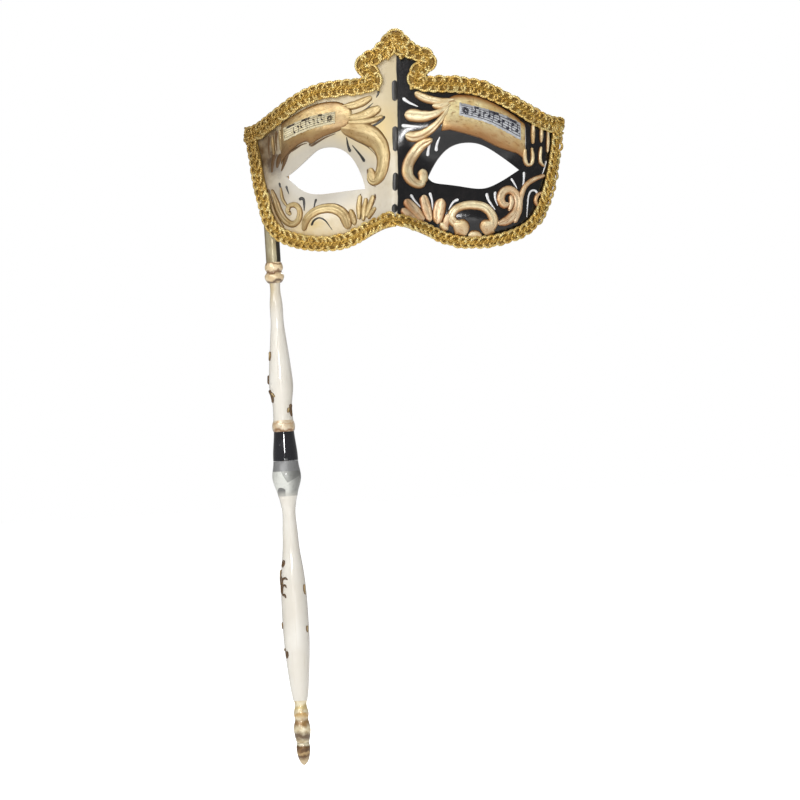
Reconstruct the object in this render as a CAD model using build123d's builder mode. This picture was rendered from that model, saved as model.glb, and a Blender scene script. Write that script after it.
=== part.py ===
from build123d import *
import math
import os

# ---------------------------------------------------------------------------
# Venetian half mask on a turned stick.  Millimetres, +Z up the stick, the
# mask looks along -Y.  The origin is where the hand grips the lower spindle,
# on the stick's axis.
# ---------------------------------------------------------------------------

# The mask stands off to the right of the stick and leans a little towards +X.
MASK_CENTRE = (78.0, -36.0, 258.0)
MASK_LEAN = 2.0
SHELL = 2.4  # papier mache thickness
REACH = 60.0  # half the depth of the prisms that are cut to the face's shape

# Face curvature
WRAP_HALF, WRAP_DEPTH = 100.0, 62.0  # ellipse that the mask wraps round
FOREHEAD_FROM, FOREHEAD_LEAN = 18.0, 0.0022
CHIN_FROM, CHIN_LEAN = -25.0, 0.008
NOSE_RISE, NOSE_START, NOSE_SOFT = 0.48, 8.0, 10.0
NOSE_HALF, NOSE_SPREAD = 9.0, 0.12
BROW = dict(height=-3.5, x=38, z=25, wide=30, tall=9)
SOCKET = dict(height=6.0, x=40, z=2, wide=24, tall=13)
CHEEK = dict(height=-4.0, x=46, z=-26, wide=20, tall=11)

# Surface finish layers, heights above the painted face
GLUE = 0.1
BRAID_THICK = 2.2
RELIEF_THICK = 1.0
PAPER_THICK = 0.2
PATCH_STEP, MARGIN, BORDER = 3.2, 2.0, 4.0

# Turned stick: heights along Z of each piece's lower face
FINIAL_TIP, FINIAL_JOIN, SPINDLE_FOOT = -70.0, -57.0, -33.0
KNOP_FOOT, KNOP_TOP = 79.7, 99.7
BARREL_FOOT, LOWER_COLLAR_FOOT, UPPER_SPINDLE_FOOT = 99.9, 116.5, 123.0
UPPER_COLLAR_FOOT, ROD_FOOT, ROD_SHOULDER, TENON_TOP = 201.5, 213.3, 240.0, 272.0
ROD_R, TENON_R, DOWEL_R, STUD_R = 4.2, 3.0, 3.0, 2.0
SLIM_DOWEL_R, DROP_PIN_R = 2.2, 1.5
RUNNING = 0.05  # radial clearance of the two fits that move
SPINDLE_TENON, STUD_LOW, STUD_TOP, BARREL_SOCKET = 6.0, 88.0, 108.0, 110.0
ROD_SOCKET_TOP, DOWEL_TOP, DROP_PIN_TOP = 221.0, -23.0, -50.0

# Socket on the back of the mask: a brass tube on a wooden saddle
TUBE_FOOT, TUBE_TOP, TUBE_R = 240.2, 275.0, 4.2
SADDLE_LOW, SADDLE_HIGH, SADDLE_INNER = 248.0, 264.0, 12.0
STRAP_LOW, STRAP_HIGH, STRAP_THICK, STRAP_LEG = 252.0, 260.0, 0.8, 3.0
PIN_R, PIN_HEAD_R, PIN_HEAD, PIN_LONG = 0.7, 1.4, 0.6, 5.0
PIN_X, PIN_HEIGHTS = 8.6, (253.8, 258.2)

lean = math.radians(MASK_LEAN)
MASK = Plane(
    origin=MASK_CENTRE,
    x_dir=(math.cos(lean), 0, -math.sin(lean)),
    z_dir=(0, -1, 0),
)
MASK_BACK = MASK.offset(-REACH)
BACKWARD = (0, 1, 0)
STICK = Plane.XZ


def hill(bump, x, z):
    """A rounded rise or hollow that repeats on both halves of the mask."""
    across = (abs(x) - bump["x"]) / bump["wide"]
    up = (z - bump["z"]) / bump["tall"]
    return bump["height"] * math.exp(-(across**2) - up**2)


def face_depth(x, z):
    """How far the painted face lies behind the mask's reference plane."""
    wrap = WRAP_DEPTH * (1 - math.sqrt(1 - (x / WRAP_HALF) ** 2))
    forehead = FOREHEAD_LEAN * max(0, z - FOREHEAD_FROM) ** 2
    chin = CHIN_LEAN * max(0, CHIN_FROM - z) ** 2
    rise = NOSE_RISE * NOSE_SOFT * math.log(1 + math.exp((NOSE_START - z) / NOSE_SOFT))
    nose = rise * math.exp(-((x / (NOSE_HALF - NOSE_SPREAD * min(0, z))) ** 2))
    bumps = hill(BROW, x, z) + hill(SOCKET, x, z) + hill(CHEEK, x, z)
    return wrap + forehead + chin - nose + bumps


def face_patch(x_min, x_max, z_min, z_max, lift):
    """Part of the painted face, raised along its own normal by lift."""
    columns = max(4, round((x_max - x_min) / PATCH_STEP))
    rows = max(4, round((z_max - z_min) / PATCH_STEP))
    h = 0.05
    grid = []
    for i in range(columns + 1):
        x = x_min + (x_max - x_min) * i / columns
        line = []
        for j in range(rows + 1):
            z = z_min + (z_max - z_min) * j / rows
            slope_x = (face_depth(x + h, z) - face_depth(x - h, z)) / (2 * h)
            slope_z = (face_depth(x, z + h) - face_depth(x, z - h)) / (2 * h)
            normal = Vector(slope_x, slope_z, 1).normalized()
            point = Vector(x, z, -face_depth(x, z)) + normal * lift
            line.append(MASK.from_local_coords(point))
        grid.append(line)
    return Face.make_surface_from_array_of_points(grid)


def keep_layer(x_min, x_max, z_min, z_max, low, high):
    """Trim the open part to what lies between two heights above the face."""
    edge = (x_min, x_max, z_min, z_max)
    extrude(face_patch(*edge, high), amount=2 * REACH, dir=BACKWARD, mode=Mode.INTERSECT)
    extrude(face_patch(*edge, low), amount=2 * REACH, dir=BACKWARD, mode=Mode.SUBTRACT)


def both_sides(half):
    """Points across the whole mask, from those of its +X half, which starts on the centre line."""
    return [(-x, z) for x, z in reversed(half[1:])] + half


def write(name, label):
    name.part.label = label
    export_step(name.part, f"parts/{label}.step")


os.makedirs("parts", exist_ok=True)
WHOLE_FACE = (-93, 93, -46, 82)

# ---- mask shell -------------------------------------------------------------
with BuildSketch(MASK_BACK) as outline:
    with BuildLine():
        Spline((17, 55.4), (21, 52), (31, 51.8), (43, 50.6), (56, 45.4), (68, 37.4), (76, 31.8), (88.5, 28.6))
        RadiusArc((88.5, 28.6), (90, 24.6), 3.2)
        Spline((90, 24.6), (87.6, 10), (85, -4), (82.4, -16), (78.4, -27.4))
        mirror(about=Plane.YZ)
        Spline(*both_sides([(0, 79), (6.2, 75.8), (9.5, 70.2), (16, 67.2), (21, 62.5), (17, 55.4)]))
        Spline(
            *both_sides(
                [(0, -30.6), (11, -33.4), (22, -38.2), (41, -42.2), (60, -39.6), (72, -34.6), (78.4, -27.4)]
            )
        )
    make_face()

# The two holes were cut by hand, so they differ: (upper lid, lower lid), from the nose and from the temple
EYES = {
    "left": (
        [(-18.4, -8.9), (-20.3, -2), (-22.6, 3.4), (-25.6, 8.6), (-30, 12.9), (-35, 15.1), (-40, 15.5),
         (-45, 14.5), (-50, 11.3), (-55, 7.3), (-60, 3.4), (-65, 0.2)],
        [(-65, 0.2), (-61.4, -3.4), (-57, -7), (-52, -9.6), (-46, -10.7), (-38, -10.3), (-28, -9.4),
         (-18.4, -8.9)],
    ),
    "right": (
        [(16.9, -3.4), (20, 2.8), (25, 9.6), (30, 13.4), (35, 15.1), (40, 15.5), (45, 14.8), (50, 12.6),
         (55, 9.3), (60, 5.6), (67, -0.2)],
        [(67, -0.2), (60, -4.8), (54, -8.2), (48, -10.3), (43, -10.3), (35, -8.9), (25, -7.4), (19.4, -6),
         (16.9, -3.4)],
    ),
}
with BuildSketch(MASK_BACK) as eye_holes:
    for upper_lid, lower_lid in EYES.values():
        with BuildLine():
            Spline(*upper_lid)
            Spline(*lower_lid)
        make_face()

with BuildPart() as mask_shell:
    extrude(outline.sketch, amount=2 * REACH)
    keep_layer(*WHOLE_FACE, -SHELL, 0)
    extrude(eye_holes.sketch, amount=2 * REACH, mode=Mode.SUBTRACT)
write(mask_shell, "mask_shell")

# ---- braid round the edge, in five lengths ----------------------------------
with BuildSketch(MASK_BACK) as field:
    with BuildLine():
        Spline((9, 45.6), (20, 43.6), (33, 43.2), (46, 41.6), (58, 36.6), (69, 29.4), (79.6, 23.6))
        Spline((79.6, 23.6), (81.8, 19), (79, 0), (76, -16), (70.4, -27.4))
        mirror(about=Plane.YZ)
        Spline(*both_sides([(0, 67.5), (5.6, 63), (9, 58), (7, 52), (9, 45.6)]))
        Spline(
            *both_sides([(0, -22.6), (10, -23.6), (19, -26.8), (33, -31.4), (46, -33), (60, -31.6), (70.4, -27.4)])
        )
    make_face()

# The window of the mask that holds each length: least and most across and up
BRAID_WINDOWS = {
    "braid_crown": (-26, 26, 54.1, 82),
    "braid_brow_left": (-93, -3, 24.1, 53.9),
    "braid_brow_right": (3, 93, 24.1, 53.9),
    "braid_lower_left": (-93, -0.1, -46, 23.9),
    "braid_lower_right": (0.1, 93, -46, 23.9),
}
for label, (left, right, low, high) in BRAID_WINDOWS.items():
    with BuildPart() as braid:
        with BuildSketch(MASK_BACK):
            add(outline.sketch_local)
            add(field.sketch_local, mode=Mode.SUBTRACT)
            with Locations(((left + right) / 2, (low + high) / 2)):
                Rectangle(right - left, high - low, mode=Mode.INTERSECT)
        extrude(amount=2 * REACH)
        window = (left - MARGIN, right + MARGIN, low - MARGIN, high + MARGIN)
        keep_layer(*window, GLUE, BRAID_THICK)
    write(braid, label)

# ---- raised gilt ornament, one set on each half -----------------------------
# Each half was piped by hand: (width, points across from the nose and up the mask) of every stroke
STROKES = {
    "left": {
        "brow_leaves": [
            (3.8, [(14.6, 41.4), (20, 38.9), (26.6, 37.4)]),
            (4.4, [(9.4, 36), (14, 33.6), (20, 32), (26.6, 31.8)]),
            (3.4, [(7.6, 28), (14, 25.6), (21.4, 25.4), (26.6, 27)]),
        ],
        "nose_scroll": [
            (5.4, [(22.6, 20.4), (16.6, 18), (11, 13.6), (7.8, 7.6), (7.2, 1.6), (9, -3.4), (12, -6.2)])
        ],
        "fan_leaves": [
            (3, [(21, -13), (22, -22)]),
            (3, [(17, -14.6), (18.8, -23.4)]),
            (3, [(12.8, -14), (16, -20.6)]),
        ],
        "cheek_arch": [
            (4.6, [(52.4, -29.4), (50.6, -24.4), (45.6, -20.6), (39, -19.6), (32.8, -22.2), (30.2, -28)])
        ],
        "cheek_curl": [
            (3.2, [(72.6, -8.4), (70.4, -15), (67.4, -21.6), (62.6, -25.6), (58, -23.4), (57.6, -18.8),
                   (61.4, -16.8)])
        ],
    },
    "right": {
        "brow_leaves": [
            (4.4, [(12.5, 42.6), (16, 40.8), (21, 39), (26.6, 38.6)]),
            (6, [(5.8, 31.4), (12, 31), (19, 31), (26.4, 33)]),
            (5, [(6.6, 20.2), (12, 19.8), (17, 21.4), (21, 24.2), (24.6, 28)]),
        ],
        "nose_scroll": [
            (5, [(18.2, 16.2), (13.8, 14), (9.6, 9.6), (6.9, 4.6), (6.2, 0), (7.2, -3.8), (10.2, -6.6),
                 (13.4, -7)]),
            (4, [(14, -8.4), (14.6, -3), (14, 1.6)]),
        ],
        "fan_leaves": [
            (4.2, [(7, -17.2), (10.4, -21.2)]),
            (4.4, [(14.6, -14.6), (16.4, -22.4)]),
            (5.4, [(24, -17), (22.4, -23.4)]),
        ],
        "cheek_arch": [
            (4.6, [(31.6, -28.6), (30.8, -25.4), (34, -21.6), (40, -20.4), (46, -21), (50.6, -24.4), (51.6, -29.4)])
        ],
        "cheek_curl": [
            (4.2, [(57.4, -28.6), (62.4, -25.8), (65.4, -20.6), (64.4, -14.8), (60.4, -12.4), (57.2, -15.4),
                   (58.4, -19.4)]),
            (3.4, [(69, -22.6), (70.8, -13.8), (75.6, -7.4)]),
        ],
    },
}
SIDES = {"left": -1, "right": 1}
for side, sign in SIDES.items():
    for ornament, strokes in STROKES[side].items():
        across = [sign * x for width, points in strokes for x, z in points]
        up = [z for width, points in strokes for x, z in points]
        window = (min(across) - BORDER, max(across) + BORDER, min(up) - BORDER, max(up) + BORDER)
        with BuildPart() as relief:
            with BuildSketch(MASK_BACK):
                for width, points in strokes:
                    with BuildLine():
                        Spline(*[(sign * x, z) for x, z in points])
                    trace(line_width=width)
            extrude(amount=2 * REACH)
            keep_layer(*window, GLUE, RELIEF_THICK)
        write(relief, f"{ornament}_{side}")

    plate_window = (*sorted((sign * 22, sign * 76)), 0, 46)
    with BuildPart() as brow_plate:
        with BuildSketch(MASK_BACK):
            with BuildLine():
                Spline(*[(sign * x, z) for x, z in [(30, 41), (45, 40.6), (58, 35.4), (70, 27)]])
                Spline(*[(sign * x, z) for x, z in [(70, 27), (71.6, 22), (71, 5)]])
                Spline(*[(sign * x, z) for x, z in [(71, 5), (63, 9.4), (52, 16), (41, 20.4), (26, 21.6)]])
                Spline(*[(sign * x, z) for x, z in [(26, 21.6), (29.4, 27), (30.6, 34), (30, 41)]])
            make_face()
        extrude(amount=2 * REACH)
        keep_layer(*plate_window, GLUE, RELIEF_THICK)
    write(brow_plate, f"brow_plate_{side}")

    with BuildPart() as music_strip:
        with BuildSketch(MASK_BACK):
            with BuildLine():
                Spline(*[(sign * x, z) for x, z in [(36, 36.6), (52, 32.8), (67.4, 26.4)]])
                Line((sign * 67.4, 26.4), (sign * 68, 16.6))
                Spline(*[(sign * x, z) for x, z in [(68, 16.6), (52, 25), (36, 29.6)]])
                Line((sign * 36, 29.6), (sign * 36, 36.6))
            make_face()
        extrude(amount=2 * REACH)
        keep_layer(*plate_window, RELIEF_THICK + GLUE, RELIEF_THICK + GLUE + PAPER_THICK)
    write(music_strip, f"music_strip_{side}")

# ---- socket for the stick ---------------------------------------------------
with BuildPart() as socket_tube:
    with BuildSketch(Plane.XY.offset(TUBE_FOOT)):
        Circle(TUBE_R)
        Circle(TENON_R + RUNNING, mode=Mode.SUBTRACT)
    extrude(amount=TUBE_TOP - TUBE_FOOT)
write(socket_tube, "socket_tube")

with BuildPart() as saddle:
    with BuildSketch(Plane.XY.offset(SADDLE_LOW)):
        with Locations((-TUBE_R, 0)):
            Rectangle(TUBE_R + SADDLE_INNER, REACH, align=(Align.MIN, Align.MAX))
        Circle(TUBE_R, mode=Mode.SUBTRACT)
    extrude(amount=SADDLE_HIGH - SADDLE_LOW)
    behind = face_patch(-92, -58, -22, 18, -SHELL - GLUE)
    extrude(behind, amount=2 * REACH, dir=BACKWARD, mode=Mode.INTERSECT)
    for height in PIN_HEIGHTS:
        with BuildSketch(Plane.XZ):
            with Locations((PIN_X, height)):
                Circle(PIN_R)
        extrude(amount=PIN_LONG, mode=Mode.SUBTRACT)
write(saddle, "socket_saddle")

with BuildPart() as strap:
    with BuildSketch(Plane.XY.offset(STRAP_LOW)):
        Circle(TUBE_R + STRAP_THICK)
        Rectangle(REACH, REACH, align=(Align.CENTER, Align.MAX), mode=Mode.SUBTRACT)
        with Locations((-TUBE_R, 0)):
            Rectangle(STRAP_THICK, STRAP_LEG, align=(Align.MAX, Align.MAX))
        with Locations((TUBE_R, 0)):
            Rectangle(SADDLE_INNER - TUBE_R, STRAP_THICK, align=(Align.MIN, Align.MIN))
        Circle(TUBE_R, mode=Mode.SUBTRACT)
    extrude(amount=STRAP_HIGH - STRAP_LOW)
    for height in PIN_HEIGHTS:
        with BuildSketch(Plane.XZ):
            with Locations((PIN_X, height)):
                Circle(PIN_R)
        extrude(amount=-REACH, mode=Mode.SUBTRACT)
write(strap, "socket_strap")

with BuildPart() as strap_pins:
    for height in PIN_HEIGHTS:
        with BuildSketch(Plane.XZ.offset(-STRAP_THICK - PIN_HEAD)):
            with Locations((PIN_X, height)):
                Circle(PIN_HEAD_R)
        extrude(amount=PIN_HEAD)
        with BuildSketch(Plane.XZ.offset(-STRAP_THICK)):
            with Locations((PIN_X, height)):
                Circle(PIN_R)
        extrude(amount=STRAP_THICK + PIN_LONG)
write(strap_pins, "strap_pins")

# ---- turned stick, from the top down ----------------------------------------
with BuildPart() as top_rod:
    with BuildSketch(Plane.XY.offset(ROD_FOOT)):
        Circle(ROD_R)
    extrude(amount=ROD_SHOULDER - ROD_FOOT)
    with BuildSketch(Plane.XY.offset(ROD_SHOULDER)):
        Circle(TENON_R)
    extrude(amount=TENON_TOP - ROD_SHOULDER)
    chamfer(top_rod.edges().group_by(Axis.Z)[-1], 0.8)
    with BuildSketch(Plane.XY.offset(ROD_FOOT)):
        Circle(SLIM_DOWEL_R)
    extrude(amount=ROD_SOCKET_TOP - ROD_FOOT, mode=Mode.SUBTRACT)
write(top_rod, "top_rod")

# Turned profiles: (radius, height) down the visible side of each piece
PROFILES = {
    "upper_collar": [
        (4.3, ROD_FOOT), (5.0, 211.6), (4.9, 209), (4.3, 207.8), (5.3, 206.2), (5.2, 203.6),
        (3.6, UPPER_COLLAR_FOOT),
    ],
    "upper_spindle": [
        (3.1, UPPER_COLLAR_FOOT), (2.9, 197), (3.6, 190), (3.7, 180), (4.2, 173.4), (5.6, 160), (6.6, 149),
        (6.7, 140), (5.7, 133.5), (5.5, 128), (5.7, UPPER_SPINDLE_FOOT),
    ],
    "lower_collar": [(5.6, UPPER_SPINDLE_FOOT), (6.4, 120.8), (6.5, 118.6), (5.8, LOWER_COLLAR_FOOT)],
    "black_barrel": [(5.8, LOWER_COLLAR_FOOT), (6.4, 110), (7.0, 104), (7.1, BARREL_FOOT)],
    "silver_knop": [(7.1, KNOP_TOP), (7.5, 96), (8.2, 90.9), (7.7, 87.4), (6.6, 84), (5.5, KNOP_FOOT)],
    "lower_spindle": [
        (5.4, KNOP_FOOT), (4.3, 75), (3.8, 70.5), (4.2, 61.7), (4.8, 50.5), (6.2, 38.7), (7.2, 26), (7.5, 8),
        (7.3, -4), (6.2, -18), (4.9, -29), (4.1, SPINDLE_FOOT),
    ],
    "finial_cup": [
        (3.9, SPINDLE_FOOT), (3.4, -35.6), (4.3, -41), (3.9, -43.6), (4.6, -47), (4.5, -53), (3.6, FINIAL_JOIN)
    ],
    "finial_drop": [(3.4, FINIAL_JOIN), (4.0, -60), (3.6, -64), (2.6, -67.4), (0.4, FINIAL_TIP)],
}
# Bores (radius, low, high) and tenons (radius, low, high) on the stick's axis
BORES = {
    "upper_collar": [(SLIM_DOWEL_R, UPPER_COLLAR_FOOT, ROD_FOOT)],
    "lower_collar": [(DOWEL_R, LOWER_COLLAR_FOOT, UPPER_SPINDLE_FOOT)],
    "black_barrel": [(STUD_R, BARREL_FOOT, STUD_TOP), (DOWEL_R, BARREL_SOCKET, LOWER_COLLAR_FOOT)],
    "silver_knop": [(STUD_R + RUNNING, STUD_LOW, KNOP_TOP), (DOWEL_R, KNOP_FOOT, KNOP_FOOT + SPINDLE_TENON)],
    "lower_spindle": [(STUD_R, SPINDLE_FOOT, DOWEL_TOP)],
    "finial_cup": [(DROP_PIN_R, FINIAL_JOIN, DROP_PIN_TOP)],
}
TENONS = {
    "upper_spindle": [
        (SLIM_DOWEL_R, UPPER_COLLAR_FOOT, ROD_SOCKET_TOP),
        (DOWEL_R, BARREL_SOCKET, UPPER_SPINDLE_FOOT),
    ],
    "lower_spindle": [(DOWEL_R, KNOP_FOOT, KNOP_FOOT + SPINDLE_TENON)],
    "finial_cup": [(STUD_R, SPINDLE_FOOT, DOWEL_TOP)],
    "finial_drop": [(DROP_PIN_R, FINIAL_JOIN, DROP_PIN_TOP)],
}
for label, profile in PROFILES.items():
    (top_r, top), (foot_r, foot) = profile[0], profile[-1]
    with BuildPart() as turned:
        with BuildSketch(STICK):
            with BuildLine():
                Spline(*profile)
                Line((foot_r, foot), (0, foot))
                Line((0, foot), (0, top))
                Line((0, top), (top_r, top))
            make_face()
        revolve(axis=Axis.Z)
        for radius, low, high in BORES.get(label, []):
            with BuildSketch(Plane.XY.offset(low)):
                Circle(radius)
            extrude(amount=high - low, mode=Mode.SUBTRACT)
        for radius, low, high in TENONS.get(label, []):
            with BuildSketch(Plane.XY.offset(low)):
                Circle(radius)
            extrude(amount=high - low)
    write(turned, label)

with BuildPart() as threaded_stud:
    with BuildSketch(Plane.XY.offset(STUD_LOW + RUNNING)):
        Circle(STUD_R)
    extrude(amount=STUD_TOP - STUD_LOW - RUNNING)
write(threaded_stud, "threaded_stud")
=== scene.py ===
import math
import random

import bpy
from mathutils import Matrix, Vector
from mathutils.bvhtree import BVHTree


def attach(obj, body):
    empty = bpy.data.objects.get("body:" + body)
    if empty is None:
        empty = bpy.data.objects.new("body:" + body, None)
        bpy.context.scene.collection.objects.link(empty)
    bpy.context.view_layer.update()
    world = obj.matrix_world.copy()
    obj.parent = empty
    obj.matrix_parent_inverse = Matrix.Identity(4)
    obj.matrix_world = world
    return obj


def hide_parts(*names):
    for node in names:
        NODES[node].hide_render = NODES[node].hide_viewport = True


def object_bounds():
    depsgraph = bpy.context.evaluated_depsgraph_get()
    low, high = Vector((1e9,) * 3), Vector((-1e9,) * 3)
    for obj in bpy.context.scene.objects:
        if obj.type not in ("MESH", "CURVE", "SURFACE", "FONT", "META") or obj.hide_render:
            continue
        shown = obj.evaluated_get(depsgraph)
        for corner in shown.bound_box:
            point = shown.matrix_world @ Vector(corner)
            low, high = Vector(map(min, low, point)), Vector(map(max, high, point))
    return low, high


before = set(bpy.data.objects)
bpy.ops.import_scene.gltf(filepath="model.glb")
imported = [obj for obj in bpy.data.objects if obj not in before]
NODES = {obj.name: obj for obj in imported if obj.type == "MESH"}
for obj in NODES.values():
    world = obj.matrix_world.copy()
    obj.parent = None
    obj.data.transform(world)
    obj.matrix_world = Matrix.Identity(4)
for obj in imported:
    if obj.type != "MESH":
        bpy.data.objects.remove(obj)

CAD_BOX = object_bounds()
MM = 0.001
random.seed(11)

# ---------------------------------------------------------------------------
# The mask's own frame and the curvature of its face, as the CAD has them (mm)
# ---------------------------------------------------------------------------
MASK_CENTRE = Vector((78.0, -36.0, 258.0))
MASK_LEAN = math.radians(2.0)
ACROSS = Vector((math.cos(MASK_LEAN), 0, -math.sin(MASK_LEAN)))
UP = Vector((math.sin(MASK_LEAN), 0, math.cos(MASK_LEAN)))
BACK = Vector((0, 1, 0))

WRAP_HALF, WRAP_DEPTH = 100.0, 62.0
FOREHEAD_FROM, FOREHEAD_LEAN = 18.0, 0.0022
CHIN_FROM, CHIN_LEAN = -25.0, 0.008
NOSE_RISE, NOSE_START, NOSE_SOFT = 0.48, 8.0, 10.0
NOSE_HALF, NOSE_SPREAD = 9.0, 0.12
# height, x, z, width and height of the rises and hollows of each half
HILLS = ((-3.5, 38, 25, 30, 9), (6.0, 40, 2, 24, 13), (-4.0, 46, -26, 20, 11))


def face_depth(x, z):
    """How far the painted face lies behind the mask's reference plane."""
    side = min(abs(x), WRAP_HALF * 0.99)
    depth = WRAP_DEPTH * (1 - math.sqrt(1 - (side / WRAP_HALF) ** 2))
    depth += FOREHEAD_LEAN * max(0, z - FOREHEAD_FROM) ** 2
    depth += CHIN_LEAN * max(0, CHIN_FROM - z) ** 2
    rise = NOSE_RISE * NOSE_SOFT * math.log(1 + math.exp((NOSE_START - z) / NOSE_SOFT))
    depth -= rise * math.exp(-((x / (NOSE_HALF - NOSE_SPREAD * min(0, z))) ** 2))
    for height, hill_x, hill_z, wide, tall in HILLS:
        depth += height * math.exp(-(((side - hill_x) / wide) ** 2) - ((z - hill_z) / tall) ** 2)
    return depth


def face_normal(x, z):
    """Outward normal of the painted face."""
    h = 0.2
    slope_x = (face_depth(x + h, z) - face_depth(x - h, z)) / (2 * h)
    slope_z = (face_depth(x, z + h) - face_depth(x, z - h)) / (2 * h)
    return (ACROSS * slope_x + UP * slope_z - BACK).normalized()


def on_face(x, z, lift=0.0):
    """A point above the painted face, in metres in the row frame."""
    point = MASK_CENTRE + ACROSS * x + UP * z + BACK * face_depth(x, z)
    return (point + face_normal(x, z) * lift) * MM


# ---------------------------------------------------------------------------
# Camera, light and stage
# ---------------------------------------------------------------------------
CAMERA_AZIMUTH = math.radians(6.5)
CAMERA_ROLL = math.radians(3.52)
LENS, SENSOR = 180.0, 36.0
PICTURE_WIDTH = 448.0  # what the picture spans at the mask, mm
MASK_IN_PICTURE = (-1.7, 127.7)  # the mask's centre from the picture's centre, mm


def make_camera():
    level = Vector((math.cos(CAMERA_AZIMUTH), math.sin(CAMERA_AZIMUTH), 0))
    ahead = Vector((-math.sin(CAMERA_AZIMUTH), math.cos(CAMERA_AZIMUTH), 0))
    plumb = Vector((0, 0, 1))
    right = level * math.cos(CAMERA_ROLL) - plumb * math.sin(CAMERA_ROLL)
    top = level * math.sin(CAMERA_ROLL) + plumb * math.cos(CAMERA_ROLL)
    data = bpy.data.cameras.new("camera")
    data.lens, data.sensor_width = LENS, SENSOR
    data.clip_start, data.clip_end = 0.05, 20.0
    camera = bpy.data.objects.new("camera", data)
    bpy.context.scene.collection.objects.link(camera)
    aim = MASK_CENTRE - right * MASK_IN_PICTURE[0] - top * MASK_IN_PICTURE[1]
    place = (aim - ahead * (PICTURE_WIDTH * LENS / SENSOR)) * MM
    turn = Matrix((right, top, -ahead)).transposed()
    camera.matrix_world = Matrix.Translation(place) @ turn.to_4x4()
    bpy.context.scene.camera = camera


def area_light(name, place, target, size, power):
    data = bpy.data.lights.new(name, "AREA")
    data.size, data.energy = size, power
    light = bpy.data.objects.new(name, data)
    bpy.context.scene.collection.objects.link(light)
    light.location = place
    aim = Vector(target) - Vector(place)
    light.rotation_mode = "QUATERNION"
    light.rotation_quaternion = aim.to_track_quat("-Z", "Y")
    return light


def make_stage():
    """A plain pale floor that reaches out to the white of the studio."""
    reach, floor_z = 8.0, CAD_BOX[0].z - 0.06
    corners = ((-reach, -reach), (reach, -reach), (reach, reach), (-reach, reach))
    mesh = bpy.data.meshes.new("floor")
    mesh.from_pydata([(x, y, floor_z) for x, y in corners], [], [(0, 1, 2, 3)])
    floor = bpy.data.objects.new("floor", mesh)
    bpy.context.scene.collection.objects.link(floor)
    paint = bpy.data.materials.new("floor_paint")
    paint.use_nodes = True
    tree = paint.node_tree
    shader = tree.nodes["Principled BSDF"]
    shader.inputs["Base Color"].default_value = (0.93, 0.93, 0.925, 1)
    shader.inputs["Roughness"].default_value = 0.9
    shader.inputs["Specular IOR Level"].default_value = 0.0
    shader.inputs["Emission Color"].default_value = (1, 1, 1, 1)
    seen = tree.nodes.new("ShaderNodeLightPath").outputs["Is Camera Ray"]
    tree.links.new(seen, shader.inputs["Emission Strength"])
    mesh.materials.append(paint)


ROOM_LIGHT = 0.24  # how much the white room lights the piece; it is seen as pure white


def make_light():
    world = bpy.data.worlds.new("studio")
    bpy.context.scene.world = world
    world.use_nodes = True
    tree = world.node_tree
    room = tree.nodes["Background"]
    room.inputs["Color"].default_value = (1, 1, 1, 1)
    level = tree.nodes.new("ShaderNodeMapRange")
    level.inputs["To Min"].default_value, level.inputs["To Max"].default_value = ROOM_LIGHT, 1.0
    tree.links.new(tree.nodes.new("ShaderNodeLightPath").outputs["Is Camera Ray"], level.inputs["Value"])
    tree.links.new(level.outputs["Result"], room.inputs["Strength"])
    centre = MASK_CENTRE * MM
    area_light("key", centre + Vector((-0.75, -1.15, 0.75)), centre, 1.1, 14.5)
    fill = area_light("fill", centre + Vector((0.75, -1.25, -0.4)), centre, 0.8, 8.5)
    fill.visible_glossy = False  # it fills shadows without a reflection in the black lacquer
    area_light("low", centre + Vector((0.25, -1.4, -0.55)), centre - Vector((0, 0, 0.15)), 0.8, 2.9)
    area_light("glint", centre + Vector((0.02, -1.42, 0.13)), centre, 0.13, 3.2)
    area_light("catch", (-0.05, -1.5, 0.09), (0, 0, 0.1), 0.07, 0.25)
    area_light("behind", centre + Vector((0.1, 1.1, 0.7)), centre, 0.8, 13.0)
    bpy.context.scene.view_settings.view_transform = "Standard"


make_camera()
make_stage()
make_light()


# ---------------------------------------------------------------------------
# Mesh making
# ---------------------------------------------------------------------------
class Shape:
    """Vertices and faces gathered for one piece, with how far along and across each stroke they lie."""

    def __init__(self):
        self.verts, self.faces, self.along, self.across = [], [], [], []

    def point(self, place, along=0.0, across=0.0):
        self.verts.append(place)
        self.along.append(along)
        self.across.append(across)
        return len(self.verts) - 1

    def grid(self, rows, closed_rows=False, closed_columns=False):
        """Quads between rows of vertex numbers."""
        row_pairs = list(zip(rows, rows[1:])) + ([(rows[-1], rows[0])] if closed_rows else [])
        for a, b in row_pairs:
            count = len(a)
            for i in range(count if closed_columns else count - 1):
                j = (i + 1) % count
                self.faces.append((a[i], a[j], b[j], b[i]))

    def make(self, name, material, body, slot, replaces=()):
        mesh = bpy.data.meshes.new(name)
        mesh.from_pydata([tuple(v) for v in self.verts], [], self.faces)
        for key, values in (("along", self.along), ("across", self.across)):
            mesh.attributes.new(key, "FLOAT", "POINT").data.foreach_set("value", values)
        mesh.shade_smooth()
        mesh.materials.append(material)
        piece = bpy.data.objects.new(name, mesh)
        bpy.context.scene.collection.objects.link(piece)
        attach(piece, body)
        if replaces:
            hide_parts(*replaces)
        return piece


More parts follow.
